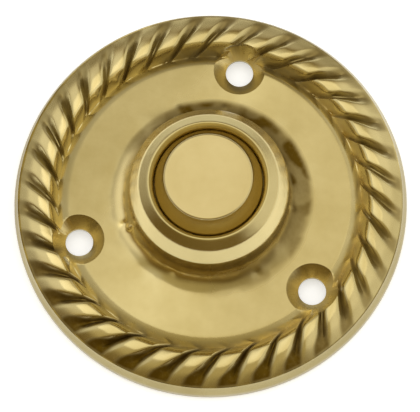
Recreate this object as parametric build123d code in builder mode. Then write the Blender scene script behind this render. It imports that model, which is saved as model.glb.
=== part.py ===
"""Round brass doorbell push with a roped edge: cast plate, turned button and the contact block behind it.

Millimetres. The origin is the centre of the back face, which lies on the door, and Z points out of the door.
"""

import os
from math import acos, cos, degrees, pi, radians, sin

from build123d import *

# Cast plate: rim and roped edge
plate_d = 64.0              # over the rim
rim_side_h = 2.0            # straight side of the rim
rim_bevel = 0.9             # softened edge above it
flank_w = 2.1               # sloping flank from the rim up under the rope
flank_h = 1.2
rope_inset = 4.6            # from the side of the rim in to the crest of the rope
rope_top_z = 5.6            # crest of the rope above the back
strand_r = 2.0              # section of one strand, to its flats
strand_flats = 8            # flats round that section, one of them along the crest
strand_bend_r = 2.8         # bend of a strand over the rope
strand_lay = 44.5           # degrees between a strand and the radius
strand_pitch = 4.78         # along the crest of the rope
strand_phase = 5.85         # degrees from the X axis to the first strand
strand_buried = 20.0        # degrees above the level where both ends of a strand stop, inside the plate

# Cast plate: field, boss and hollow back
valley_z = 2.9              # floor between the rope and the field
valley_inset = 3.0          # from the crest of the rope to the edge of the field's bevel
valley_w = 1.2              # width of the floor, partly under the strands
field_z = 4.2               # flat field
boss_r = 12.45
cove_r = 4.1                # hollow curve from the field up to the boss
boss_wall_z = 11.0          # where the straight wall of the boss ends
shoulder_r = 5.4            # rounded shoulder of the boss
mouth_r = 9.7               # edge where the shoulder meets the mouth of the bore
mouth_h = 0.9               # bevel from that edge down to the bore
recess_r = 27.0             # hollow back, inside the flat bearing rim
recess_h = 1.6
boss_wall = 1.95            # wall of the boss round the cavity
ledge_z = 13.4              # underside of the lip, which stops the button

# Fixing holes
hole_d = 4.5
sink_d = 8.4
sink_angle = 90.0
hole_circle_d = 44.6
hole_count = 3

# Push button
button_r = 8.5
button_clear = 0.25         # radial, in the bore
face_z = 18.0
face_round = 1.6
flange_clear = 0.5          # radial, in the cavity of the boss
flange_t = 1.4
stem_r = 1.8
stem_l = 1.6

# Contact block
block_inset = 0.2           # its back face lies this far inside the back of the plate
block_lip = 3.2             # from the centres of its screws out to its edge
cup_clear = 0.3             # round the cup, in the cavity
cup_wall = 1.3
cup_top_z = 7.0
cup_floor_t = 1.6
block_edge_bevel = 0.4
block_screw_in = 2.3        # from the wall of the cavity out to the centres of its screws

# Contact strips
strip_t = 0.4
strip_inset = 2.0           # from the edge of the cup in to the leaf's foot
leaf_w = 3.6
leaf_foot_l = 2.6           # flat foot, before the arm rises
leaf_bend_r = 1.2
pad_r = 2.9
leg_w = 3.0
tongue_w = 3.6
stud_r = 1.0
stud_h = 0.7
stud_bevel = 0.3
terminal_angle = 55.2       # degrees from the X axis to the second terminal
washer_clear = 0.2          # between a washer and the wall round the wires

# Screws, nuts and washers, all on a 2.5 thread
thread_r = 1.25
thread_clear = 0.02         # radial, in tapped holes and nuts
through_clear = 0.15        # radial, in plain holes
head_r = 2.3
head_h = 1.6
head_bevel = 0.3
slot_w = 0.7
slot_h = 0.8
washer_r = 2.75
washer_t = 0.5
nut_across_flats = 5.0
nut_h = 1.8
thread_proud = 0.4          # end of a terminal screw beyond its nut
sunk_head_r = 2.2
sunk_slot_h = 0.5
block_thread_l = 2.4        # thread of a block screw inside the plate
pilot_extra = 0.2           # tapped hole beyond the end of that screw

# Worked out from the above
plate_r = plate_d / 2
rope_r = plate_r - rope_inset
rim_top_r = plate_r - rim_bevel
rim_top_z = rim_side_h + rim_bevel
flank_top_r = rim_top_r - flank_w
rope_bed_z = rim_top_z + flank_h
field_r = rope_r - valley_inset - (field_z - valley_z)
valley_in_r = rope_r - valley_inset
valley_out_r = valley_in_r + valley_w
cove_foot_r = boss_r + cove_r
shoulder_arc = acos((mouth_r - boss_r + shoulder_r) / shoulder_r)
lip_z = boss_wall_z + shoulder_r * sin(shoulder_arc)
bore_r = button_r + button_clear
cavity_r = boss_r - boss_wall
strand_count = round(2 * pi * rope_r / strand_pitch)
flange_z = ledge_z - flange_t
stem_z = flange_z - stem_l
cup_r = cavity_r - cup_clear
wire_r = cup_r - cup_wall
floor_z = cup_top_z - cup_floor_t
strip_top_z = cup_top_z + strip_t
nut_top_z = strip_top_z + nut_h
washer_z = floor_z - washer_t
head_z = washer_z - head_h
through_r = thread_r + through_clear
tapped_r = thread_r + thread_clear
sunk_head_h = sunk_head_r - thread_r
block_screw_circle_r = cavity_r + block_screw_in
block_r = block_screw_circle_r + block_lip
flange_r = cavity_r - flange_clear
terminal_circle_r = wire_r - washer_r - washer_clear
terminal_x = terminal_circle_r * cos(radians(terminal_angle))
terminal_y = terminal_circle_r * sin(radians(terminal_angle))
leaf_root_x = strip_inset - cup_r
leaf_bend_x = leaf_root_x + leaf_foot_l
leaf_crown_x = -stem_r
leaf_tip_x = terminal_x + stud_r
block_thread_z = recess_h + block_thread_l
terminals = [(-terminal_x, -terminal_y), (terminal_x, terminal_y)]
block_screw_places = [(0, -block_screw_circle_r), (0, block_screw_circle_r)]

os.makedirs("parts", exist_ok=True)

# One strand of the rope: a bar bent over the edge, in an upright plane that crosses the radius at the lay
lay_dir = Vector(-cos(radians(strand_lay)), sin(radians(strand_lay)), 0)
bend_axis_dir = Vector(0, 0, 1).cross(lay_dir)
bend_centre = Vector(rope_r, 0, rope_top_z - strand_r - strand_bend_r)
buried = radians(strand_buried)
strand_start_dir = Vector(0, 0, sin(buried)) - lay_dir * cos(buried)
strand_plane = Plane(
    origin=bend_centre,
    x_dir=strand_start_dir,
    z_dir=bend_axis_dir.cross(strand_start_dir),
)
with BuildPart() as strand:
    with BuildSketch(strand_plane):
        with Locations((strand_bend_r, 0)):
            RegularPolygon(strand_r, strand_flats, major_radius=False, rotation=180 / strand_flats)
    revolve(
        axis=Axis(bend_centre, bend_axis_dir),
        revolution_arc=180 - 2 * strand_buried,
    )

# Cast plate: turned outline, the rope laid over it, then the hollow back, the bore and the holes
with BuildPart() as cast_plate:
    with BuildSketch(Plane.XZ):
        with BuildLine():
            edge = Polyline(
                (0, 0),
                (plate_r, 0),
                (plate_r, rim_side_h),
                (rim_top_r, rim_top_z),
                (flank_top_r, rope_bed_z),
                (rope_r, rope_bed_z),
                (valley_out_r, valley_z),
                (valley_in_r, valley_z),
                (field_r, field_z),
                (cove_foot_r, field_z),
            )
            cove = JernArc(edge @ 1, (-1, 0), cove_r, -90)
            boss_side = Line(cove @ 1, (boss_r, boss_wall_z))
            shoulder = JernArc(boss_side @ 1, (0, 1), shoulder_r, degrees(shoulder_arc))
            Polyline(shoulder @ 1, (0, lip_z), (0, 0))
        make_face()
    revolve(axis=Axis.Z)
    with PolarLocations(0, strand_count, start_angle=strand_phase):
        add(strand.part)
    with BuildSketch(Plane.XZ):
        with BuildLine():
            Polyline(
                (0, 0),
                (recess_r, 0),
                (recess_r, recess_h),
                (cavity_r, recess_h),
                (cavity_r, ledge_z),
                (bore_r, ledge_z),
                (bore_r, lip_z - mouth_h),
                (mouth_r, lip_z),
                (0, lip_z),
                close=True,
            )
        make_face()
    revolve(axis=Axis.Z, mode=Mode.SUBTRACT)
    with Locations(Plane.XY.offset(field_z)):
        with PolarLocations(hole_circle_d / 2, hole_count, start_angle=90):
            CounterSinkHole(hole_d / 2, sink_d / 2, counter_sink_angle=sink_angle)
    with BuildSketch(Plane.XY.offset(recess_h)):
        with Locations(*block_screw_places):
            Circle(tapped_r)
    extrude(amount=block_thread_l + pilot_extra, mode=Mode.SUBTRACT)
cast_plate.part.label = "cast_plate"
export_step(cast_plate.part, "parts/cast_plate.step")

# Push button: turned, held in the boss by its flange
with BuildPart() as push_button:
    with BuildSketch(Plane.XZ):
        with BuildLine():
            Polyline(
                (0, stem_z),
                (stem_r, stem_z),
                (stem_r, flange_z),
                (flange_r, flange_z),
                (flange_r, ledge_z),
                (button_r, ledge_z),
                (button_r, face_z),
                (0, face_z),
                close=True,
            )
        make_face()
    revolve(axis=Axis.Z)
    face_edge = push_button.edges().filter_by(GeomType.CIRCLE).sort_by(Axis.Z)[-1]
    fillet(face_edge, face_round)
push_button.part.label = "push_button"
export_step(push_button.part, "parts/push_button.step")

# Contact block: flange under the plate, cup up into the boss, hollow at the back for the bell wires
with BuildPart() as contact_block:
    with BuildSketch(Plane.XZ):
        with BuildLine():
            Polyline(
                (wire_r, block_inset),
                (block_r, block_inset),
                (block_r, recess_h),
                (cup_r, recess_h),
                (cup_r, cup_top_z),
                (0, cup_top_z),
                (0, floor_z),
                (wire_r, floor_z),
                close=True,
            )
        make_face()
    revolve(axis=Axis.Z)
    cup_edge = contact_block.edges().filter_by(GeomType.CIRCLE).sort_by(Axis.Z)[-1]
    chamfer(cup_edge, block_edge_bevel)
    with Locations(Plane.XY.offset(cup_top_z)):
        with Locations(*terminals):
            Hole(through_r, depth=cup_floor_t)
    with Locations(Plane((0, 0, block_inset), z_dir=(0, 0, -1))):
        with Locations(*block_screw_places):
            CounterSinkHole(through_r, sunk_head_r + through_clear, depth=recess_h)
contact_block.part.label = "contact_block"
export_step(contact_block.part, "parts/contact_block.step")

# Leaf contact: flat pad under one nut, a leg beside it, and an arm that rises under the stem of the button
with BuildPart() as leaf_contact:
    with BuildSketch(Plane.XY.offset(cup_top_z)):
        with Locations(terminals[0]):
            Circle(pad_r)
        with Locations((leaf_root_x, leaf_w / 2)):
            Rectangle(leg_w, leaf_w / 2 + terminal_y, align=(Align.MIN, Align.MAX))
    extrude(amount=strip_t)
    with BuildLine(Plane.XZ) as leaf_line:
        FilletPolyline(
            (leaf_root_x, cup_top_z + strip_t / 2),
            (leaf_bend_x, cup_top_z + strip_t / 2),
            (leaf_crown_x, stem_z - strip_t / 2),
            (leaf_tip_x, stem_z - strip_t / 2),
            radius=leaf_bend_r,
        )
    with BuildSketch(Plane(origin=leaf_line.line @ 0, x_dir=(0, 1, 0), z_dir=leaf_line.line % 0)):
        Rectangle(leaf_w, strip_t)
    sweep(path=leaf_line.line)
    with Locations(Plane.XY.offset(strip_top_z)):
        with Locations(terminals[0]):
            Hole(through_r, depth=strip_t)
leaf_contact.part.label = "leaf_contact"
export_step(leaf_contact.part, "parts/leaf_contact.step")

# Fixed contact: pad under the other nut, and a tongue with a raised stud below the tip of the leaf
with BuildPart() as fixed_contact:
    with BuildSketch(Plane.XY.offset(cup_top_z)):
        with Locations(terminals[1]):
            Circle(pad_r)
        with Locations((terminal_x, -leaf_w / 2)):
            Rectangle(tongue_w, leaf_w / 2 + terminal_y, align=(Align.CENTER, Align.MIN))
    extrude(amount=strip_t)
    with BuildSketch(Plane.XY.offset(strip_top_z)):
        with Locations((terminal_x, 0)):
            Circle(stud_r)
    extrude(amount=stud_h)
    stud_edge = fixed_contact.edges().filter_by(GeomType.CIRCLE).sort_by(Axis.Z)[-1]
    chamfer(stud_edge, stud_bevel)
    with Locations(Plane.XY.offset(strip_top_z)):
        with Locations(terminals[1]):
            Hole(through_r, depth=strip_t)
fixed_contact.part.label = "fixed_contact"
export_step(fixed_contact.part, "parts/fixed_contact.step")

# Terminal screws: slotted cheese heads at the back, threads up through the block, the strips and the nuts
with BuildPart() as terminal_screws:
    with BuildSketch(Plane.XY.offset(head_z)):
        with Locations(*terminals):
            Circle(head_r)
    extrude(amount=head_h)
    head_edges = terminal_screws.edges().filter_by(GeomType.CIRCLE).group_by(Axis.Z)[0]
    chamfer(head_edges, head_bevel)
    with BuildSketch(Plane.XY.offset(washer_z)):
        with Locations(*terminals):
            Circle(thread_r)
    extrude(amount=nut_top_z + thread_proud - washer_z)
    with BuildSketch(Plane.XY.offset(head_z)):
        with Locations(*terminals):
            Rectangle(slot_w, 2 * head_r)
    extrude(amount=slot_h, mode=Mode.SUBTRACT)
terminal_screws.part.label = "terminal_screws"
export_step(terminal_screws.part, "parts/terminal_screws.step")

# Terminal washers
with BuildPart() as terminal_washers:
    with BuildSketch(Plane.XY.offset(washer_z)):
        with Locations(*terminals):
            Circle(washer_r)
            Circle(through_r, mode=Mode.SUBTRACT)
    extrude(amount=washer_t)
terminal_washers.part.label = "terminal_washers"
export_step(terminal_washers.part, "parts/terminal_washers.step")

# Terminal nuts, with a flat side towards the contact strips
with BuildPart() as terminal_nuts:
    with BuildSketch(Plane.XY.offset(strip_top_z)):
        with Locations(*terminals):
            RegularPolygon(nut_across_flats / 2, 6, major_radius=False)
            Circle(tapped_r, mode=Mode.SUBTRACT)
    extrude(amount=nut_h)
terminal_nuts.part.label = "terminal_nuts"
export_step(terminal_nuts.part, "parts/terminal_nuts.step")

# Block screws: sunk heads flush with the block, threads in the plate
with BuildPart() as block_screws:
    with BuildSketch(Plane.XY.offset(block_inset)):
        with Locations(*block_screw_places):
            Circle(thread_r)
    extrude(amount=block_thread_z - block_inset)
    with Locations(*[(x, y, block_inset) for x, y in block_screw_places]):
        Cone(sunk_head_r, thread_r, sunk_head_h, align=(Align.CENTER, Align.CENTER, Align.MIN))
    with BuildSketch(Plane.XY.offset(block_inset)):
        with Locations(*block_screw_places):
            Rectangle(slot_w, 2 * sunk_head_r)
    extrude(amount=sunk_slot_h, mode=Mode.SUBTRACT)
block_screws.part.label = "block_screws"
export_step(block_screws.part, "parts/block_screws.step")
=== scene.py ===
import math
import random

import bmesh
import bpy
from mathutils import Matrix, Vector, noise


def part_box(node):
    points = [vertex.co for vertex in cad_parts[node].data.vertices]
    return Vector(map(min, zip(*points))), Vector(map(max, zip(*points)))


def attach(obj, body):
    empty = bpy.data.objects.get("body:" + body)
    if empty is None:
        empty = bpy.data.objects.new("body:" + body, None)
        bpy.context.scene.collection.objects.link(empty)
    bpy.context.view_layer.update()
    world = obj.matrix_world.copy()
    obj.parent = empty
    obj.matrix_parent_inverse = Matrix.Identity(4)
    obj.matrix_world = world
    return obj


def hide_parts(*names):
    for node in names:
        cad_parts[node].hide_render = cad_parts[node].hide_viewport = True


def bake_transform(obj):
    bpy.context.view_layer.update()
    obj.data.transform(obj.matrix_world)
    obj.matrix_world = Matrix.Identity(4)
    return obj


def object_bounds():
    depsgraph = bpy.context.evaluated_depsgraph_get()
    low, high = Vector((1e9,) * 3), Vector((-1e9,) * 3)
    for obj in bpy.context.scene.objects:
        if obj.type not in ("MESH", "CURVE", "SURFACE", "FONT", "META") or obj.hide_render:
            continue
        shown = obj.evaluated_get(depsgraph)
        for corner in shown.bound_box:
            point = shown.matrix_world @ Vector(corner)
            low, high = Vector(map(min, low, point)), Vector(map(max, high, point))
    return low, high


# Round brass doorbell push with a roped edge.
# Sizes are millimetres, as the solids have them, and MM makes metres. Radii are from the plate's axis.

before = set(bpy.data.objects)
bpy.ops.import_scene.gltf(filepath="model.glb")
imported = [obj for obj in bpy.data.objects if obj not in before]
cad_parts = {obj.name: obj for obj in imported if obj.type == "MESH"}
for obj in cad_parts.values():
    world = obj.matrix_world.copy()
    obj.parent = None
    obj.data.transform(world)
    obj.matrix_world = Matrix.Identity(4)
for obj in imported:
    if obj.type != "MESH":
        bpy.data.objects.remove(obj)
cad_low, cad_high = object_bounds()
MM = 0.001

# All meshes
SAME_POINT = 1e-7           # metres within which two points of a turned shape are one
SHARP_EDGE = 40             # degrees past which an edge shows as sharp

# Cast plate: rim
PLATE_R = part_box("cast_plate")[1].x / MM
BACK_ROUND = 0.25
RIM_SIDE_H = 1.3
RIM_ROUND = 2.6
RIM_TURN = 20               # degrees of the rim's round before its slope runs straight
RIM_IN_R = PLATE_R - 0.75
RIM_TOP_Z = 3.7

# Cast plate: rope
ROPE_R = PLATE_R - 5.0      # middle of the crest
ROPE_TOP_Z = 5.6
CREST_CROWN = 0.080         # fall of the crest per square millimetre from its middle
OUTER_SLOPE = math.tan(math.radians(37))
INNER_SLOPE = math.tan(math.radians(60))
CREST_EDGE = 0.8            # how softly the crest turns into its two slopes
STRANDS = 36
STRAND_PHASE = math.radians(6.84)
STRAND_LAY = math.tan(math.radians(42.1))
STRAND_CURL = 0.07          # how much more a strand turns along the rope towards the valley, per millimetre
TAIL_START = 1.0            # from the middle of the crest in to where a strand curls into its tail
TAIL_CURL = 0.45            # how far along the rope the tail goes, per square millimetre
SPACING_WANDER = ((1, 1.35, 113.5), (2, 0.95, 194))    # uneven spacing: waves round the plate, degrees, phase
STRAND_SEED = 11
LIFT_RANGE = (-0.07, 0.07)  # how far a strand stands above or below the others
DEPTH_RANGE = (0.85, 1.15)  # share of the full depth that its grooves have
TILT_RANGE = (-0.25, 0.25)  # how far its crown leans to one side
GROOVE_DEPTH = 1.1
GROOVE_OUTER = 0.36         # share of half a strand that is crest at its outer end, the rest is groove
GROOVE_INNER = 0.60         # the same at its inner end
GROOVE_TAPER = (ROPE_R - 1, ROPE_R + 2)    # radii between which it goes from one to the other
GROOVE_BOTTOM = 1.05        # share of half a strand at which a groove would be level, just past its middle
GROOVE_FADE = 2.8           # length over which a groove deepens from the rim
STRAND_CROWN = 0.20         # share of the depth that is a round crown, the rest is groove
FOOT_BLEND = 0.08           # soft crease where a strand runs out
STRAND_COLUMNS = 18
ROPE_ROWS = 44
ROW_ROOM = 0.01             # room for rounding in the radius of a row of points

# Cast plate: valley and field
VALLEY_Z = 2.9
VALLEY_FLOOR_Z = 2.3
VALLEY_IN_R = PLATE_R - 7.6    # foot of the rope's inner face
FIELD_Z = 4.2
FIELD_R = VALLEY_IN_R - 1.8
FIELD_ROWS = 14
EDGE_ROWS = 8
EDGE_FALL = 1.9             # power of the fall from the field into the valley
SHALLOW_SIDES = 0.35        # how much of the valley's depth the casting lacks away from its top
SHALLOW_LEFT = 0.25         # and how much more on its left

# Cast plate: boss and hollow back
BOSS_R = 12.8
COVE_R = 3.75
BOSS_WALL_Z = 11.75
WALL_ROUND = 0.6
WALL_TURN = 30              # degrees of that round before the steep side runs straight
SHOULDER_EDGE = (11.2, 14.45)    # where the steep side of the boss meets the flatter rise to the lip
LIP_Z = 15.68
MOUTH_R = 9.7
MOUTH_H = 1.25
LIP_MIDDLE = (MOUTH_R - 0.1, LIP_Z - 0.33)
LIP_ROUND = 0.35
LIP_TURN = (48, 128)        # degrees of the lip's round, from its outer to its inner side
BORE_R = 8.75
LEDGE_Z = 13.4
CAVITY_R = 10.5
RECESS_R = 27.0
RECESS_H = 1.6
FRONT_Z = RECESS_H + 0.1    # a point of the plate above this is on its front

# Fixing holes and the tapped holes for the block
HOLE_R = 2.25
SINK_R = 4.2
HOLE_CIRCLE_R = 22.3
HOLE_ANGLES = (90, 210, 330)
HOLE_COLUMNS = 48
PILOT_R = 1.27
PILOT_CIRCLE_R = 12.8
PILOT_ANGLES = (90, 270)
PILOT_TOP_Z = 4.2
PILOT_COLUMNS = 24
CUT_BELOW = 1               # how far the cutting piece reaches past the back
CUT_ABOVE = 2               # and past the field
SLIVER = 0.004              # edges shorter than this that the cutting leaves are closed up

# Lumps and pits that the sand left where the buff can't reach: angle, radius, width, height
CAST_MARKS = (
    (120.6, 15.9, 0.9, 0.18),
    (93.9, 15.4, 0.8, 0.20),
    (-146.6, 13.9, 0.8, 0.28),
    (-150.5, 14.6, 1.0, -0.26),
    (-102.4, 13.6, 1.1, -0.20),
    (-46.6, 14.8, 1.2, -0.24),
    (3.3, 13.5, 0.8, 0.22),
    (139.6, 25.0, 0.9, 0.25),
    (149.2, 25.2, 0.9, 0.22),
)
MARK_FALL = 3               # how fast a mark fades past its width
MARKS_CLEAR = 0.2           # what is nearer than this to the back or the boss has no marks
WAVE_HEIGHT = 0.16
WAVE_LENGTH = 3.2
WAVE_BAND = ((13.0, 14.5), (15.5, 19.0))    # radii where the waves come in, and where they go out

# Sides of the plate: where each begins and where it is full, as how straight a place's direction from the
# axis points to that side, 1 for quite straight. The sides of single finishes are given in the same way.
LOWER_SIDE = (0.0, 0.7)
LOWER_LEAN = 0.3            # how much less of the lower side lies on the right
UPPER_SIDE = (0.7, 1.0)
LEFT_SIDE = (0.3, 0.9)

# Finish of the back
NEAR_BACK = 0.05
BACK_TARNISH = 0.54

# Finish of the rope: patina in the grooves with painted shade, painted highlights on the crests and painted
# light on the inner face
ROPE_BAND = ((VALLEY_IN_R, VALLEY_IN_R + 0.9), (PLATE_R - 1.3, PLATE_R - 0.6))
GROOVE_SIDE = (0.62, 0.97)  # shares of half a strand between which the tarnish and painted shade begin
GROOVE_WIDENS = (ROPE_R + 0.3, ROPE_R + 3.2)
GROOVE_WIDER = 0.25         # how much further it reaches at a strand's outer end, on its anticlockwise side, as painted shade on that flank
GROOVE_WIDER_LOWER = 0.33   # and how much more at the bottom of the plate
GROOVE_WIDER_OTHER = 0.22   # the same on its clockwise side
GROOVE_TARNISH = 0.5
# Painted shade: the grooves are darker at the bottom and top of the plate and lighter on its left
GROOVE_SHADE_LEFT = -0.1
GROOVE_SHADE_LOWER = 0.5
GROOVE_SHADE_UPPER = 0.12
CREST_SIDE = (0.2, 0.6)     # shares of half a strand between which the painted highlight ends
CREST_END = (29.0, 30.0)
# Painted highlight on the crests, stronger on the left
CREST_HIGHLIGHT = 0.2
CREST_HIGHLIGHT_LEFT = 0.3
INNER_BAND = ((VALLEY_IN_R - 0.6, VALLEY_IN_R + 0.2), (25.6, 26.4))
INNER_RIGHT = (0.1, 0.6)
# Painted light on the rope's inner face, more on the right
INNER_PAINTED_LIGHT = 0.3
INNER_PAINTED_LIGHT_RIGHT = 0.5

# Finish of the rim, darker at its upper left
RIM_START = (RIM_IN_R - 0.2, RIM_IN_R + 0.2)
RIM_UPPER_LEFT = (0, 30)
RIM_DARKER = 0.17
RIM_DARKER_UPPER_LEFT = 0.19

# Finish of the valley and the field: patina in the valley, with painted shade at its top and painted light on
# its left, and a darker tone of the field at its upper left
VALLEY_BAND = ((VALLEY_IN_R - 1.5, VALLEY_IN_R - 0.2), (VALLEY_IN_R + 0.5, VALLEY_IN_R + 1.5))
# The valley's patina fades out on the left, as painted light there
VALLEY_LEFT = (0.3, 0.8)
VALLEY_TARNISH = 0.14
# Painted shade: the valley is darker at the top
VALLEY_SHADE_UPPER = 0.31
FIELD_BAND = ((14.0, 16.0), (VALLEY_IN_R - 0.8, VALLEY_IN_R + 0.2))
FIELD_WAY = (-0.9, 0.33)    # way to the upper left, where the field is darkest
FIELD_REACH = (0, 20)
FIELD_RIGHT = (0.0, 0.6)
FIELD_RIGHT_SHARE = 0.4
FIELD_DARKER = 0.26
SINK_ROOM = 0.05
# Painted light in the countersinks
SINK_PAINTED_LIGHT = 0.5

# Finish of the boss: dirt and painted shade round its foot, and painted light on its foot, its steep side and
# its mouth
DIRT_AND_SHADE_BAND = ((BOSS_R + 0.1, BOSS_R + 0.9), (15.8, 17.2))
# Painted shade: the dirt round the boss is strongest on its upper and right sides
COVE_SHADE_UPPER = 1.1
COVE_SHADE_RIGHT = 0.65
EVEN_DIRT_AND_SHADE = 0.65           # share of the dirt and painted shade that is even, the rest comes in patches
DIRT_LENGTH = 2.6           # size of a patch
DIRT_EDGE = (-0.3, 0.2)     # values of its noise between which a patch begins
COVE_START = (BOSS_R - 0.1, BOSS_R + 0.1)
COVE_END = (13.1, 14.3)
COVE_WIDER_LEFT = 1.8
# Painted light on the foot of the boss, wider on the left
COVE_PAINTED_LIGHT = 0.9
COVE_DULL = 0.15
SHOULDER_RISE = (9.5, 12.0)
SHOULDER_START = (SHOULDER_EDGE[0] - 0.15, SHOULDER_EDGE[0] + 0.15)
# Painted light on the steep side of the boss, more on the left and less at the bottom
SHOULDER_PAINTED_LIGHT = 0.6
SHOULDER_PAINTED_LIGHT_LOWER = -0.25
SHOULDER_PAINTED_LIGHT_LEFT = 0.35
INSIDE_MOUTH_R = MOUTH_R - 0.3
INSIDE_MOUTH_Z = LEDGE_Z - 0.1
# Painted light in the mouth of the bore
MOUTH_PAINTED_LIGHT = 0.55

# Push button
BUTTON_LOW, BUTTON_HIGH = (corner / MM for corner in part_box("push_button"))
BUTTON_R = 8.66
BUTTON_SIDE_Z = 14.45
FLARE_BEND = (7.5, 16.0)    # where the line of the flare would meet the line of the steep side above it
FACE_R = 7.1
FACE_ROUND = 0.35
FACE_ROUND_START = 14       # degrees at which the round of the face's edge takes over from the side
FLANGE_R = BUTTON_HIGH.x
FLANGE_Z = 12.0
STEM_R = 1.8
EDGE_BREAK = 0.15
BUTTON_COLUMNS = 128
SIDE_TOP_Z = 17.7           # the side ends and the face's edge begins
# Painted light on the button's side, down in the gap round it
SIDE_PAINTED_LIGHT = 0.15
HIDDEN_TARNISH = 0.6        # of the flange and the stem, which no hand reaches

# Leaf
LEAF_WELD = 1e-6            # metres within which two points of its solid are one
LEAF_ROUNDS = 3
LEAF_EDGE = 0.9             # longer edges are halved, so that the strip can bend
LEAF_SHARP_EDGE = 30

# Grain of the buffed brass: size in millimetres, detail and roughness of each noise
# The pits are finer on the real casting, and are drawn coarser here so that they show.
BRASS_GRAIN = {
    "cloud": (9, 4, 0.6),       # slow change of tone
    "pits": (0.7, 3, 0.7),      # what the sand left under the buff
    "blotch": (2.2, 3, 0.6),    # breaks in the shine
    "ripple": (3.5, 2, 0.45),   # waves of the buffing wheel
}
CLOUD_EDGES = (0.3, 0.7)
BLOTCH_EDGES = (0.35, 0.6)
PITTED_TARNISH = (0.3, 0.85)    # how much the pits vary the tarnish, and its least share
ROUGHER_CLOUD = 0.10
ROUGHER_TARNISH = 0.36
ROUGHER_BLOTCH = 0.30

# Lines of rolled and turned metal
LINE_STRETCH = (1.0, 0.08, 1.0)
LINE_ROUGHER = 0.2

# Black phenolic
FILLER_SIZE = 1.5
PHENOLIC_GLOSS = 0.25
FILLER_ROUGHER = 0.2

# Floor
FLOOR_R = 6                 # metres
FLOOR_COLUMNS = 64
FLOOR_GAP = 0.05
FLOOR_WHITE = "#e8edf8"     # a little blue, against the warm light
FLOOR_GLOW = 0.50           # light of the floor for the eye and the metal, so that it shows white

# Studio that the brass mirrors: each wall's azimuth and elevation, the angles from there at which it begins
# and is full, and its colour. They are a tan ceiling, bright walls right and left, and a low one behind.
STUDIO_WALLS = (
    (287, 82, 62, 34, "#c6b88f"),
    (18, 30, 56, 30, "#fffaee"),
    (165, 42, 52, 16, "#eae6dd"),
    (95, 0, 40, 14, "#c4beb2"),
)
STUDIO_DARK = "#7c6636"
STUDIO_STRENGTH = 1.3
SOFTBOX_PLACE = (107, 84)   # azimuth and elevation
SOFTBOX_DISTANCE = 1.2      # metres, as its size is
SOFTBOX_SIZE = 1.0
SOFTBOX_POWER = 1.86

# The camera stands where the photograph's ellipses and holes put it
CAMERA_AZIMUTH = math.radians(17.2)
CAMERA_TILT = math.radians(14.7)
CAMERA_ROLL = math.radians(-4.9)
CAMERA_DISTANCE = 0.4965    # metres, as the nearest and farthest that it sees are
CAMERA_NEAR = 0.01
CAMERA_FAR = 50
CAMERA_LENS = 262.5
CAMERA_SENSOR = 36
AIM = Vector((0.0, 0.0, FIELD_Z * MM))
AIM_DROP = 1.19 * MM


def to_linear(hex_colour):
    """An sRGB hex colour as linear red, green, blue and alpha."""
    parts = [int(hex_colour[i:i + 2], 16) / 255 for i in (1, 3, 5)]
    return [c / 12.92 if c <= 0.04045 else ((c + 0.055) / 1.055) ** 2.4 for c in parts] + [1.0]


def smooth_step(value, low, high):
    """Share from 0 at the low value to 1 at the high one, level at both ends."""
    share = min(1.0, max(0.0, (value - low) / (high - low)))
    return share * share * (3 - 2 * share)


def band(value, start, end):
    """Share that comes in over the start's two values and goes out over the end's two."""
    return smooth_step(value, *start) * (1 - smooth_step(value, *end))


def soft_max(a, b, blend):
    """The higher of two heights, with a soft crease."""
    share = max(blend - abs(a - b), 0) / blend
    return max(a, b) + share * share * blend / 4


def soft_min(a, b, blend):
    """The lower of two heights, with a soft crease."""
    return -soft_max(-a, -b, blend)


def arc(centre, radius, start, end, steps):
    """Outline points on an arc, angles in degrees."""
    angles = [math.radians(start + (end - start) * i / steps) for i in range(steps + 1)]
    return [(centre[0] + radius * math.cos(a), centre[1] + radius * math.sin(a)) for a in angles]


def run(start, end, steps):
    """Outline points on a straight run, without its two ends."""
    return [
        (start[0] + (end[0] - start[0]) * i / steps, start[1] + (end[1] - start[1]) * i / steps)
        for i in range(1, steps)
    ]


def flare(start, bend, end, steps):
    """Outline points on a curve that leaves its start and meets its end along lines to the bend."""
    points = []
    for i in range(steps + 1):
        t = i / steps
        weights = ((1 - t) ** 2, 2 * t * (1 - t), t ** 2)
        points.append(tuple(sum(w * p[k] for w, p in zip(weights, (start, bend, end))) for k in (0, 1)))
    return points


def turned(outline, columns, closed):
    """A bmesh made by turning an outline of (radius, height) about the axis."""
    mesh = bmesh.new()
    verts = [mesh.verts.new((r * MM, 0, z * MM)) for r, z in outline]
    ends = verts[1:] + verts[:1] if closed else verts[1:]
    edges = [mesh.edges.new(pair) for pair in zip(verts, ends)]
    bmesh.ops.spin(
        mesh,
        geom=verts + edges,
        cent=(0, 0, 0),
        axis=(0, 0, 1),
        angle=2 * math.pi,
        steps=columns,
        use_merge=True,
    )
    bmesh.ops.remove_doubles(mesh, verts=mesh.verts, dist=SAME_POINT)
    bmesh.ops.recalc_face_normals(mesh, faces=mesh.faces)
    return mesh


def finished(name, mesh, sharp_angle):
    """Link a bmesh as an object at the origin, smooth but for its sharp edges."""
    data = bpy.data.meshes.new(name)
    mesh.to_mesh(data)
    mesh.free()
    piece = bpy.data.objects.new(name, data)
    bpy.context.scene.collection.objects.link(piece)
    data.shade_smooth()
    data.set_sharp_from_angle(angle=math.radians(sharp_angle))
    return piece


def lay_angle(radius):
    """How far round the axis a strand has turned at this radius, from the middle of its crest."""
    inward = max(ROPE_R - RIM_IN_R, min(ROPE_R - VALLEY_IN_R, ROPE_R - radius))
    tail = max(0, inward - TAIL_START)
    return ((STRAND_LAY + STRAND_CURL * inward) * inward + TAIL_CURL * tail ** 2) / ROPE_R


def wander(angle):
    """How far the strand at this angle lies from even spacing."""
    return sum(
        math.radians(size) * math.sin(waves * angle + math.radians(phase))
        for waves, size, phase in SPACING_WANDER
    )


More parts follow.
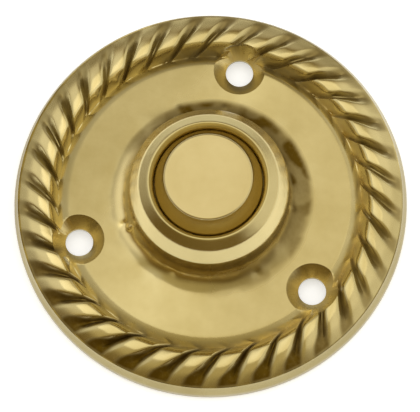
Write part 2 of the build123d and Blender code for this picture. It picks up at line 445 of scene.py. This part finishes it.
def strand_place(angle):
    """Number of the nearest strand and share of half its width. The angle is free of lay and wander."""
    place = (angle - STRAND_PHASE) * STRANDS / (2 * math.pi)
    strand = round(place)
    return strand % STRANDS, (place - strand) * 2


def crest_height(radius):
    """Section of the rope over the middle of a strand."""
    crest = ROPE_TOP_Z - CREST_CROWN * (radius - ROPE_R) ** 2
    outer = RIM_TOP_Z + OUTER_SLOPE * (RIM_IN_R - radius)
    inner = VALLEY_Z + INNER_SLOPE * (radius - VALLEY_IN_R)
    return soft_min(soft_min(crest, outer, CREST_EDGE), inner, CREST_EDGE)


def rope_height(radius, angle, uneven):
    """Height of the rope at a place on the plate. The angle is free of lay and wander."""
    strand, across = strand_place(angle)
    lift, depth, tilt = uneven[strand]
    start = GROOVE_INNER + (GROOVE_OUTER - GROOVE_INNER) * smooth_step(radius, *GROOVE_TAPER)
    groove = STRAND_CROWN * across ** 2
    groove += (1 - STRAND_CROWN) * smooth_step(abs(across), start, GROOVE_BOTTOM)
    on_rope = smooth_step(RIM_IN_R - radius, 0, GROOVE_FADE)
    lean = tilt * across * (1 - abs(across))
    return crest_height(radius) + on_rope * (lift + lean - depth * GROOVE_DEPTH * groove)


def edge_height(radius):
    """Height of the field's edge, which falls ever steeper into the valley."""
    share = (radius - FIELD_R) / (VALLEY_IN_R - FIELD_R)
    return max(VALLEY_FLOOR_Z, FIELD_Z - (FIELD_Z - VALLEY_Z) * share ** EDGE_FALL)


def valley_depth(angle):
    """Share of the valley's full depth that the casting has on this side."""
    return 1 - SHALLOW_SIDES * (1 - max(0, math.sin(angle))) - SHALLOW_LEFT * max(0, -math.cos(angle))


def plate_outline():
    """Section of the casting, from the back of the rim over the front and back through the bore."""
    rope_rows = [RIM_IN_R + (VALLEY_IN_R - RIM_IN_R) * i / ROPE_ROWS for i in range(1, ROPE_ROWS + 1)]
    edge_rows = [VALLEY_IN_R + (FIELD_R - VALLEY_IN_R) * i / EDGE_ROWS for i in range(1, EDGE_ROWS + 1)]
    rim_round = arc((PLATE_R - RIM_ROUND, RIM_SIDE_H), RIM_ROUND, 0, RIM_TURN, steps=7)
    rim_top = (RIM_IN_R, RIM_TOP_Z)
    cove = (BOSS_R + COVE_R, FIELD_Z + COVE_R)
    wall_round = arc((BOSS_R - WALL_ROUND, BOSS_WALL_Z), WALL_ROUND, 0, WALL_TURN, steps=3)
    lip = arc(LIP_MIDDLE, LIP_ROUND, *LIP_TURN, steps=6)
    cavity_foot = (CAVITY_R, RECESS_H)
    recess_foot = (RECESS_R, RECESS_H)
    points = [(RECESS_R, 0), *run((RECESS_R, 0), (PLATE_R, 0), steps=4)]
    points += arc((PLATE_R - BACK_ROUND, BACK_ROUND), BACK_ROUND, -90, 0, steps=3)
    points += [*rim_round, *run(rim_round[-1], rim_top, steps=3), rim_top]
    points += [(r, edge_height(r)) for r in rope_rows + edge_rows]
    points += run((FIELD_R, FIELD_Z), (cove[0], FIELD_Z), steps=FIELD_ROWS)
    points += arc(cove, COVE_R, 270, 180, steps=22)
    points += run((BOSS_R, cove[1]), (BOSS_R, BOSS_WALL_Z), steps=3)
    points += [*wall_round, *run(wall_round[-1], SHOULDER_EDGE, steps=8), SHOULDER_EDGE]
    points += [*run(SHOULDER_EDGE, lip[0], steps=6), *lip]
    points += [(BORE_R, LIP_Z - MOUTH_H), (BORE_R, LEDGE_Z), (CAVITY_R, LEDGE_Z)]
    points += [*run((CAVITY_R, LEDGE_Z), cavity_foot, steps=6), cavity_foot]
    points += [*run(cavity_foot, recess_foot, steps=6), recess_foot]
    return points


def carve_rope(mesh):
    """Turn the columns along the lay, then raise the strands."""
    chance = random.Random(STRAND_SEED)
    ranges = (LIFT_RANGE, DEPTH_RANGE, TILT_RANGE)
    uneven = [[chance.uniform(low, high) for low, high in ranges] for _ in range(STRANDS)]
    for vert in mesh.verts:
        radius = vert.co.xy.length / MM
        angle = math.atan2(vert.co.y, vert.co.x)
        turned_angle = angle + lay_angle(radius) + wander(angle)
        height = vert.co.z / MM
        on_front = height > FRONT_Z
        if on_front and FIELD_R < radius < RIM_IN_R:
            height = FIELD_Z - (FIELD_Z - height) * valley_depth(turned_angle)
        if on_front and VALLEY_IN_R - ROW_ROOM <= radius < RIM_IN_R - ROW_ROOM:
            height = soft_max(height, rope_height(radius, angle, uneven), FOOT_BLEND)
        vert.co = Vector((radius * math.cos(turned_angle), radius * math.sin(turned_angle), height)) * MM


def rough_casting(mesh):
    """The marks of the sand, and the waves that the buff leaves round the foot of the boss."""
    marks = [
        (Vector((r * math.cos(math.radians(a)), r * math.sin(math.radians(a)))), width, height)
        for a, r, width, height in CAST_MARKS
    ]
    bmesh.ops.recalc_face_normals(mesh, faces=mesh.faces)
    mesh.normal_update()
    moves = []
    for vert in mesh.verts:
        place = vert.co / MM
        radius = place.xy.length
        if place.z < RECESS_H + MARKS_CLEAR or radius < BOSS_R + MARKS_CLEAR or radius > RIM_IN_R:
            continue
        lift = sum(h * math.exp(-((place.xy - p).length / w) ** 2 * MARK_FALL) for p, w, h in marks)
        lift += WAVE_HEIGHT * band(radius, *WAVE_BAND) * noise.noise(place / WAVE_LENGTH)
        moves.append((vert, vert.normal * lift * MM))
    for vert, move in moves:
        vert.co += move


def hole_cutters():
    """The three countersunk holes and the two tapped holes, as one cutting piece."""
    sink_outline = [
        (0, -CUT_BELOW),
        (HOLE_R, -CUT_BELOW),
        (HOLE_R, FIELD_Z - SINK_R + HOLE_R),
        (SINK_R, FIELD_Z),
        (SINK_R, FIELD_Z + CUT_ABOVE),
        (0, FIELD_Z + CUT_ABOVE),
    ]
    pilot_outline = [(0, 0), (PILOT_R, 0), (PILOT_R, PILOT_TOP_Z), (0, PILOT_TOP_Z)]
    sink = turned(sink_outline, HOLE_COLUMNS, False)
    pilot = turned(pilot_outline, PILOT_COLUMNS, False)
    places = [(sink, HOLE_CIRCLE_R, math.radians(a)) for a in HOLE_ANGLES]
    places += [(pilot, PILOT_CIRCLE_R, math.radians(a)) for a in PILOT_ANGLES]
    data = bpy.data.meshes.new("cutters")
    joined = bmesh.new()
    for cutter, radius, angle in places:
        moved = cutter.copy()
        offset = Vector((radius * math.cos(angle), radius * math.sin(angle), 0)) * MM
        bmesh.ops.translate(moved, verts=moved.verts, vec=offset)
        moved.to_mesh(data)
        moved.free()
        joined.from_mesh(data)
    sink.free()
    pilot.free()
    joined.to_mesh(data)
    joined.free()
    return bpy.data.objects.new("cutters", data)


def cut_holes(piece):
    """Cut the holes and keep the result as the piece's own mesh."""
    cutters = hole_cutters()
    bpy.context.scene.collection.objects.link(cutters)
    cut = piece.modifiers.new("holes", "BOOLEAN")
    cut.operation = "DIFFERENCE"
    cut.solver = "EXACT"
    cut.object = cutters
    ready = piece.evaluated_get(bpy.context.evaluated_depsgraph_get())
    data = bpy.data.meshes.new_from_object(ready)
    mesh = bmesh.new()
    mesh.from_mesh(data)
    bmesh.ops.remove_doubles(mesh, verts=mesh.verts, dist=SLIVER * MM)
    bmesh.ops.dissolve_degenerate(mesh, edges=mesh.edges, dist=SLIVER * MM)
    mesh.to_mesh(data)
    mesh.free()
    piece.modifiers.clear()
    piece.data = data
    bpy.data.objects.remove(cutters)


def set_share(piece, name, values):
    """Keep one number for each point of a piece, for its material to read."""
    piece.data.attributes.new(name, "FLOAT", "POINT").data.foreach_set("value", values)


def sides(place, radius):
    """Shares of the plate's lower, upper and left side at a place."""
    lower = smooth_step((-place.y - LOWER_LEAN * max(0, place.x)) / radius, *LOWER_SIDE)
    upper = smooth_step(place.y / radius, *UPPER_SIDE)
    left = smooth_step(-place.x / radius, *LEFT_SIDE)
    return lower, upper, left


def on_back(place, radius):
    """1 on the back of the rim and in the recess, 0 elsewhere."""
    in_recess = radius < RECESS_R + NEAR_BACK and place.z < RECESS_H + NEAR_BACK
    return 1.0 if place.z < NEAR_BACK or in_recess else 0.0


def rope_finish(place, radius):
    """Patina in the grooves, with painted shade on one flank and by the side of the plate, and painted
    highlights on the crests between them.
    """
    lower, upper, left = sides(place, radius)
    angle = math.atan2(place.y, place.x) - lay_angle(radius)
    _, across = strand_place(angle - wander(angle))
    on_rope = band(radius, *ROPE_BAND) * (1 - on_back(place, radius))
    # Painted shade: the dark reaches over one flank of each strand, more at the bottom of the plate
    wider = GROOVE_WIDER + GROOVE_WIDER_LOWER * lower if across > 0 else GROOVE_WIDER_OTHER
    wider *= smooth_step(radius, *GROOVE_WIDENS)
    # Patina in the grooves, with painted shade by the side of the plate
    tarnish_and_shade = GROOVE_TARNISH + GROOVE_SHADE_LEFT * left
    tarnish_and_shade += GROOVE_SHADE_LOWER * lower + GROOVE_SHADE_UPPER * upper
    tarnish_and_shade *= smooth_step(abs(across), GROOVE_SIDE[0] - wider, GROOVE_SIDE[1] - wider)
    # Painted highlight on the crests, stronger on the left
    painted_light = CREST_HIGHLIGHT + CREST_HIGHLIGHT_LEFT * left
    painted_light *= (1 - smooth_step(abs(across), *CREST_SIDE)) * (1 - smooth_step(radius, *CREST_END))
    return tarnish_and_shade * on_rope, painted_light * on_rope


def inner_face_painted_light(place, radius):
    """Painted light on the rope's inner face, most of it on the right."""
    right = smooth_step(place.x / radius, *INNER_RIGHT)
    return band(radius, *INNER_BAND) * (INNER_PAINTED_LIGHT + INNER_PAINTED_LIGHT_RIGHT * right)


def rim_darkening(place, radius):
    """Darker tone of the rim, most of it at its upper left."""
    worn = RIM_DARKER + RIM_DARKER_UPPER_LEFT * smooth_step(place.y - place.x, *RIM_UPPER_LEFT)
    return worn * smooth_step(radius, *RIM_START)


def valley_share(place, radius):
    """Share of the valley inside the rope, which fades out on the left, where the valley is painted as lit.
    """
    return band(radius, *VALLEY_BAND) * (1 - smooth_step(-place.x / radius, *VALLEY_LEFT))


def field_darkening(place, radius):
    """Darker tone of the field, at its upper left and less at its right."""
    upper_left = smooth_step(FIELD_WAY[0] * place.x + FIELD_WAY[1] * place.y, *FIELD_REACH)
    right = FIELD_RIGHT_SHARE * smooth_step(place.x / radius, *FIELD_RIGHT)
    return FIELD_DARKER * max(upper_left, right) * band(radius, *FIELD_BAND)


def in_sink(place):
    """1 inside a screw hole and its countersink, 0 elsewhere."""
    ways = [Vector((math.cos(math.radians(a)), math.sin(math.radians(a)))) for a in HOLE_ANGLES]
    distance = min((place.xy - way * HOLE_CIRCLE_R).length for way in ways)
    return 1.0 if distance < SINK_R - SINK_ROOM and place.z > FRONT_Z else 0.0


def cove_dirt_and_shade(place, radius):
    """Brown dirt patches that the buff missed round the foot of the boss, with painted shade that makes them
    strongest on its upper and right sides.
    """
    side = min(1, COVE_SHADE_UPPER * max(0, place.y / radius) + COVE_SHADE_RIGHT * max(0, place.x / radius))
    patches = smooth_step(noise.noise(place / DIRT_LENGTH), *DIRT_EDGE)
    return band(radius, *DIRT_AND_SHADE_BAND) * side * (EVEN_DIRT_AND_SHADE + (1 - EVEN_DIRT_AND_SHADE) * patches)


def cove_dull_and_lit_share(radius, left):
    """Share of the foot of the boss that is drawn duller and painted lighter, wider on the left."""
    return band(radius, COVE_START, [r + COVE_WIDER_LEFT * left for r in COVE_END])


def shoulder_painted_light(place, radius):
    """Painted light on the steep side of the boss, most of it on the left and least at the bottom."""
    lower, _, left = sides(place, radius)
    on_shoulder = smooth_step(place.z, *SHOULDER_RISE) * smooth_step(radius, *SHOULDER_START)
    return on_shoulder * (SHOULDER_PAINTED_LIGHT + SHOULDER_PAINTED_LIGHT_LOWER * lower + SHOULDER_PAINTED_LIGHT_LEFT * left)


def plate_finish(place):
    """Shares of tarnish with painted shade, of dullness, and of painted light at a place on the plate."""
    radius = place.xy.length
    _, upper, left = sides(place, radius)
    back = on_back(place, radius)
    groove, crest = rope_finish(place, radius)
    valley = valley_share(place, radius)
    cove = cove_dull_and_lit_share(radius, left)
    dirt_and_shade = cove_dirt_and_shade(place, radius)
    sink = in_sink(place)
    # Painted light in the mouth of the bore
    mouth = 1.0 if radius < INSIDE_MOUTH_R and place.z > INSIDE_MOUTH_Z else 0.0
    tarnish_and_shade = max(
        groove,
        (VALLEY_TARNISH + VALLEY_SHADE_UPPER * upper) * valley,
        BACK_TARNISH * back,
        dirt_and_shade,
        field_darkening(place, radius),
        rim_darkening(place, radius),
    )
    dull = max(COVE_DULL * cove, valley, back)
    painted_light = max(
        MOUTH_PAINTED_LIGHT * mouth,
        SINK_PAINTED_LIGHT * sink,
        inner_face_painted_light(place, radius),
        crest,
        shoulder_painted_light(place, radius),
        COVE_PAINTED_LIGHT * cove * (1 - dirt_and_shade),
    )
    # The countersinks carry no tarnish, and painted light instead
    return tarnish_and_shade * (1 - sink), dull, painted_light


def make_plate():
    """The casting: turned from its section, carved, marked by the sand and drilled."""
    mesh = turned(plate_outline(), STRANDS * STRAND_COLUMNS, True)
    carve_rope(mesh)
    rough_casting(mesh)
    piece = finished("plate_casting", mesh, SHARP_EDGE)
    cut_holes(piece)
    piece.data.set_sharp_from_angle(angle=math.radians(SHARP_EDGE))
    shares = [plate_finish(vert.co / MM) for vert in piece.data.vertices]
    for name, values in zip(("tarnish_and_shade", "dull", "painted_light"), zip(*shares)):
        set_share(piece, name, values)
    return piece


def make_button():
    """The button: stem, flange, flared side and flat face, turned from one outline."""
    low, high = BUTTON_LOW.z, BUTTON_HIGH.z
    face_edge = arc((FACE_R - FACE_ROUND, high - FACE_ROUND), FACE_ROUND, FACE_ROUND_START, 90, steps=8)
    outline = [(0, low), (STEM_R - EDGE_BREAK, low), (STEM_R, low + EDGE_BREAK), (STEM_R, FLANGE_Z)]
    outline += [(FLANGE_R - EDGE_BREAK, FLANGE_Z), (FLANGE_R, FLANGE_Z + EDGE_BREAK)]
    outline += [(FLANGE_R, LEDGE_Z - EDGE_BREAK), (FLANGE_R - EDGE_BREAK, LEDGE_Z), (BUTTON_R, LEDGE_Z)]
    outline += [*flare((BUTTON_R, BUTTON_SIDE_Z), FLARE_BEND, face_edge[0], steps=12), *face_edge[1:]]
    outline += [*run((FACE_R - FACE_ROUND, high), (0, high), steps=6), (0, high)]
    piece = finished("button_turning", turned(outline, BUTTON_COLUMNS, False), SHARP_EDGE)
    heights = [vert.co.z / MM for vert in piece.data.vertices]
    set_share(piece, "tarnish_and_shade", [HIDDEN_TARNISH if z < LEDGE_Z else 0.0 for z in heights])
    set_share(piece, "dull", [0.0 for z in heights])
    # Painted light on the button's side, down in the gap round it
    set_share(piece, "painted_light", [SIDE_PAINTED_LIGHT if LEDGE_Z < z < SIDE_TOP_Z else 0.0 for z in heights])
    return piece


def make_leaf():
    """The leaf from its solid, with rows enough to bend."""
    mesh = bmesh.new()
    mesh.from_mesh(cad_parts["leaf_contact"].data)
    bmesh.ops.remove_doubles(mesh, verts=mesh.verts, dist=LEAF_WELD)
    for _ in range(LEAF_ROUNDS):
        long_edges = [edge for edge in mesh.edges if edge.calc_length() > LEAF_EDGE * MM]
        bmesh.ops.subdivide_edges(mesh, edges=long_edges, cuts=1)
        bmesh.ops.triangulate(mesh, faces=mesh.faces)
    return finished("leaf_strip", mesh, LEAF_SHARP_EDGE)


def add_node(tree, kind, inputs=None, **settings):
    """Add a node, set what is given, and link the inputs that are sockets.

    Inputs that share a name with others of the node go by number: 6 and 7 are the two colours of a mix.
    """
    node = tree.nodes.new(kind)
    for name, value in settings.items():
        setattr(node, name, value)
    for name, value in (inputs or {}).items():
        if isinstance(value, bpy.types.NodeSocket):
            tree.links.new(value, node.inputs[name])
        else:
            node.inputs[name].default_value = value
    return node


def new_material(name):
    """A material with an empty tree, which is returned with it."""
    material = bpy.data.materials.new(name)
    material.use_nodes = True
    material.node_tree.nodes.clear()
    return material, material.node_tree


def polished_brass(name, light, deep, painted_light, brown, gloss):
    """Brass after the buffing wheel: a warm yellow mirror with faint ripples and a slow change of tone.

    The share of tarnish and painted shade turns it brown and satin, the dull share breaks the shine where
    the casting is rough, and the share of painted light makes it paler.
    """
    material, tree = new_material(name)
    place = add_node(tree, "ShaderNodeTexCoord").outputs["Object"]
    share = {}
    for key in ("tarnish_and_shade", "dull", "painted_light"):
        share[key] = add_node(tree, "ShaderNodeAttribute", attribute_name=key).outputs["Fac"]
    grain = {}
    for key, (size, detail, roughness) in BRASS_GRAIN.items():
        inputs = {"Vector": place, "Scale": 1 / (size * MM), "Detail": detail, "Roughness": roughness}
        grain[key] = add_node(tree, "ShaderNodeTexNoise", inputs).outputs["Fac"]
    spread = {}
    for key, (low, high) in (("cloud", CLOUD_EDGES), ("blotch", BLOTCH_EDGES)):
        inputs = {"Value": grain[key], "From Min": low, "From Max": high}
        spread[key] = add_node(tree, "ShaderNodeMapRange", inputs).outputs[0]

    # Tarnish and painted shade are uneven with the pits, and the shine breaks in blotches
    inputs = {0: grain["pits"], 1: PITTED_TARNISH[0], 2: PITTED_TARNISH[1]}
    pitted = add_node(tree, "ShaderNodeMath", inputs, operation="MULTIPLY_ADD").outputs[0]
    inputs = {0: share["tarnish_and_shade"], 1: pitted}
    tarnish_and_shade = add_node(tree, "ShaderNodeMath", inputs, operation="MULTIPLY", use_clamp=True).outputs[0]
    inputs = {0: share["dull"], 1: spread["blotch"]}
    broken = add_node(tree, "ShaderNodeMath", inputs, operation="MULTIPLY").outputs[0]

    # The paler colour is painted light; the brown is patina with painted shade
    colour = to_linear(light)
    for amount, tone in ((spread["cloud"], deep), (share["painted_light"], painted_light), (tarnish_and_shade, brown)):
        inputs = {"Factor": amount, 6: colour, 7: to_linear(tone)}
        colour = add_node(tree, "ShaderNodeMix", inputs, data_type="RGBA").outputs[2]
    rough = gloss
    for amount, rougher in (
        (grain["cloud"], ROUGHER_CLOUD),
        (tarnish_and_shade, ROUGHER_TARNISH),
        (broken, ROUGHER_BLOTCH),
    ):
        inputs = {0: amount, 1: rougher, 2: rough}
        rough = add_node(tree, "ShaderNodeMath", inputs, operation="MULTIPLY_ADD").outputs[0]
    inputs = {"Height": grain["ripple"], "Strength": 0.35, "Distance": 0.12 * MM}
    rippled = add_node(tree, "ShaderNodeBump", inputs).outputs["Normal"]
    inputs = {"Height": grain["pits"], "Strength": 0.25, "Distance": 0.02 * MM, "Normal": rippled}
    normal = add_node(tree, "ShaderNodeBump", inputs).outputs["Normal"]

    inputs = {"Metallic": 1.0, "Base Color": colour, "Roughness": rough, "Normal": normal}
    shader = add_node(tree, "ShaderNodeBsdfPrincipled", inputs)
    add_node(tree, "ShaderNodeOutputMaterial", {"Surface": shader.outputs["BSDF"]})
    return material


def lined_metal(name, light, deep, gloss, line_mm):
    """Rolled strip or turned stock: a satin metal with lines along one way and a slight change of tone.

    Real lines of the rolls or the tool are about a tenth as wide, and are drawn coarser here to show.
    """
    material, tree = new_material(name)
    place = add_node(tree, "ShaderNodeTexCoord").outputs["Object"]
    stretched = add_node(tree, "ShaderNodeMapping", {"Vector": place, "Scale": LINE_STRETCH}).outputs[0]
    inputs = {"Vector": stretched, "Scale": 1 / (line_mm * MM), "Detail": 3, "Roughness": 0.6}
    lines = add_node(tree, "ShaderNodeTexNoise", inputs).outputs["Fac"]
    inputs = {"Factor": lines, 6: to_linear(light), 7: to_linear(deep)}
    colour = add_node(tree, "ShaderNodeMix", inputs, data_type="RGBA").outputs[2]
    inputs = {0: lines, 1: LINE_ROUGHER, 2: gloss}
    rough = add_node(tree, "ShaderNodeMath", inputs, operation="MULTIPLY_ADD").outputs[0]
    inputs = {"Height": lines, "Strength": 0.3, "Distance": 0.01 * MM}
    normal = add_node(tree, "ShaderNodeBump", inputs).outputs["Normal"]
    inputs = {"Metallic": 1.0, "Base Color": colour, "Roughness": rough, "Normal": normal}
    shader = add_node(tree, "ShaderNodeBsdfPrincipled", inputs)
    add_node(tree, "ShaderNodeOutputMaterial", {"Surface": shader.outputs["BSDF"]})
    return material


def moulded_phenolic(name, light, deep):
    """Black phenolic moulding: hard, slightly glossy, with a faint cloud of filler in it."""
    material, tree = new_material(name)
    place = add_node(tree, "ShaderNodeTexCoord").outputs["Object"]
    inputs = {"Vector": place, "Scale": 1 / (FILLER_SIZE * MM), "Detail": 5, "Roughness": 0.7}
    filler = add_node(tree, "ShaderNodeTexNoise", inputs).outputs["Fac"]
    inputs = {"Factor": filler, 6: to_linear(deep), 7: to_linear(light)}
    colour = add_node(tree, "ShaderNodeMix", inputs, data_type="RGBA").outputs[2]
    inputs = {0: filler, 1: FILLER_ROUGHER, 2: PHENOLIC_GLOSS}
    rough = add_node(tree, "ShaderNodeMath", inputs, operation="MULTIPLY_ADD").outputs[0]
    inputs = {"Height": filler, "Strength": 0.15, "Distance": 0.03 * MM}
    normal = add_node(tree, "ShaderNodeBump", inputs).outputs["Normal"]
    inputs = {"Base Color": colour, "Roughness": rough, "Normal": normal}
    shader = add_node(tree, "ShaderNodeBsdfPrincipled", inputs)
    add_node(tree, "ShaderNodeOutputMaterial", {"Surface": shader.outputs["BSDF"]})
    return material


def white_board(name):
    """Matt painted board: an even white without shine, which glows a little for the eye and in the metal."""
    material, tree = new_material(name)
    path = add_node(tree, "ShaderNodeLightPath").outputs
    inputs = {0: path["Is Camera Ray"], 1: path["Is Glossy Ray"]}
    seen = add_node(tree, "ShaderNodeMath", inputs).outputs[0]
    inputs = {0: seen, 1: path["Is Transmission Ray"]}
    seen = add_node(tree, "ShaderNodeMath", inputs, use_clamp=True).outputs[0]
    glow = add_node(tree, "ShaderNodeMath", {0: seen, 1: FLOOR_GLOW}, operation="MULTIPLY").outputs[0]
    inputs = {
        "Base Color": to_linear(FLOOR_WHITE),
        "Roughness": 0.9,
        "Specular IOR Level": 0.0,
        "Emission Color": to_linear("#ffffff"),
        "Emission Strength": glow,
    }
    shader = add_node(tree, "ShaderNodeBsdfPrincipled", inputs)
    add_node(tree, "ShaderNodeOutputMaterial", {"Surface": shader.outputs["BSDF"]})
    return material


def give(piece, material):
    """Make this the only material of a piece."""
    piece.data.materials.clear()
    piece.data.materials.append(material)


def make_floor():
    """A pale floor that shows white to the eye and in the metal, and keeps a soft shadow."""
    mesh = bmesh.new()
    bmesh.ops.create_circle(mesh, cap_ends=True, segments=FLOOR_COLUMNS, radius=FLOOR_R)
    bmesh.ops.translate(mesh, verts=mesh.verts, vec=(0, 0, cad_low.z - FLOOR_GAP * MM))
    floor = finished("floor", mesh, SHARP_EDGE)
    give(floor, white_board("white_floor"))


def direction(azimuth, elevation):
    """Way from the object towards a place in the studio, angles in degrees."""
    a, e = math.radians(azimuth), math.radians(elevation)
    return Vector((math.cos(a) * math.cos(e), math.sin(a) * math.cos(e), math.sin(e)))


def make_world():
    """The studio round the object: pale walls with soft edges, and brown dark between them."""
    world = bpy.data.worlds.new("studio")
    world.use_nodes = True
    tree = world.node_tree
    tree.nodes.clear()
    way = add_node(tree, "ShaderNodeTexCoord").outputs["Generated"]
    colour = to_linear(STUDIO_DARK)
    for azimuth, elevation, outer, inner, wall_colour in STUDIO_WALLS:
        inputs = {0: way, 1: direction(azimuth, elevation)}
        near = add_node(tree, "ShaderNodeVectorMath", inputs, operation="DOT_PRODUCT").outputs["Value"]
        inputs = {
            "Value": near,
            "From Min": math.cos(math.radians(outer)),
            "From Max": math.cos(math.radians(inner)),
        }
        share = add_node(tree, "ShaderNodeMapRange", inputs, interpolation_type="SMOOTHSTEP").outputs[0]
        inputs = {"Factor": share, 6: colour, 7: to_linear(wall_colour)}
        colour = add_node(tree, "ShaderNodeMix", inputs, data_type="RGBA").outputs[2]
    ground = add_node(tree, "ShaderNodeBackground", {"Color": colour, "Strength": STUDIO_STRENGTH})
    add_node(tree, "ShaderNodeOutputWorld", {"Surface": ground.outputs[0]})
    bpy.context.scene.world = world


def add_softbox(name, towards, distance, size, power):
    """A round soft light that looks at the object."""
    lamp = bpy.data.lights.new(name, "AREA")
    lamp.shape = "DISK"
    lamp.size = size
    lamp.energy = power
    box = bpy.data.objects.new(name, lamp)
    box.location = towards * distance
    box.rotation_euler = (-towards).to_track_quat("-Z", "Y").to_euler()
    bpy.context.scene.collection.objects.link(box)


def make_camera():
    """The camera: over the front, a little towards the lower right, and rolled a few degrees."""
    back = Vector((
        math.sin(CAMERA_AZIMUTH) * math.sin(CAMERA_TILT),
        -math.cos(CAMERA_AZIMUTH) * math.sin(CAMERA_TILT),
        math.cos(CAMERA_TILT),
    ))
    level = Vector((0, 0, 1)).cross(back).normalized()
    rise = back.cross(level)
    right = level * math.cos(CAMERA_ROLL) + rise * math.sin(CAMERA_ROLL)
    up = rise * math.cos(CAMERA_ROLL) - level * math.sin(CAMERA_ROLL)
    data = bpy.data.cameras.new("camera")
    data.lens = CAMERA_LENS
    data.sensor_width = CAMERA_SENSOR
    data.clip_start = CAMERA_NEAR
    data.clip_end = CAMERA_FAR
    camera = bpy.data.objects.new("camera", data)
    turn = Matrix((right, up, back)).transposed().to_4x4()
    camera.matrix_world = Matrix.Translation(AIM - up * AIM_DROP + back * CAMERA_DISTANCE) @ turn
    bpy.context.scene.collection.objects.link(camera)
    bpy.context.scene.camera = camera


# Sand-cast brass, buffed: a soft yellow mirror on what stands proud, brown with patina and painted shade in
# the grooves and round the boss, and paler with painted light on the crests, the boss and in the hollows
cast_brass = polished_brass(
    "buffed_cast_brass", light="#b7aa7b", deep="#aa9c6b", painted_light="#e6d59c", brown="#5a4510", gloss=0.16
)
plate = make_plate()
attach(plate, "plate")
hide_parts("cast_plate")
give(plate, cast_brass)

# Brass bar, turned and polished: a clearer and more even mirror than the casting
button_brass = polished_brass(
    "turned_brass", light="#b4a679", deep="#ac9d6e", painted_light="#d6c793", brown="#5a4510", gloss=0.14
)
button = make_button()
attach(button, "button")
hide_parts("push_button")
give(button, button_brass)

# Bronze strip, rolled hard: reddish and satin
leaf = make_leaf()
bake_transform(leaf)
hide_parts("leaf_contact")
give(leaf, lined_metal("rolled_bronze", light="#d9a878", deep="#b98452", gloss=0.22, line_mm=0.25))

# Turned brass rod, brighter than the casting; brass strip with the lines of the rolls; steel under a zinc
# coat, a pale grey; and phenolic, near black with a soft shine
screw_brass = lined_metal("turned_screw_brass", light="#dcc487", deep="#bd9f5c", gloss=0.2, line_mm=0.2)
strip_brass = lined_metal("rolled_brass", light="#dfc98c", deep="#c4a864", gloss=0.2, line_mm=0.25)
screw_steel = lined_metal("zinc_plated_steel", light="#c9c8c2", deep="#a3a39d", gloss=0.25, line_mm=0.2)
node_finishes = {
    "contact_block": moulded_phenolic("black_phenolic", light="#2c2420", deep="#1c1714"),
    "fixed_contact": strip_brass,
    "terminal_screws": screw_brass,
    "terminal_washers": screw_brass,
    "terminal_nuts": screw_brass,
    "block_screws": screw_steel,
}
for node, finish in node_finishes.items():
    give(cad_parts[node], finish)

make_floor()
make_world()
add_softbox("ceiling_softbox", direction(*SOFTBOX_PLACE), SOFTBOX_DISTANCE, SOFTBOX_SIZE, SOFTBOX_POWER)
make_camera()
bpy.context.scene.view_settings.view_transform = "Standard"
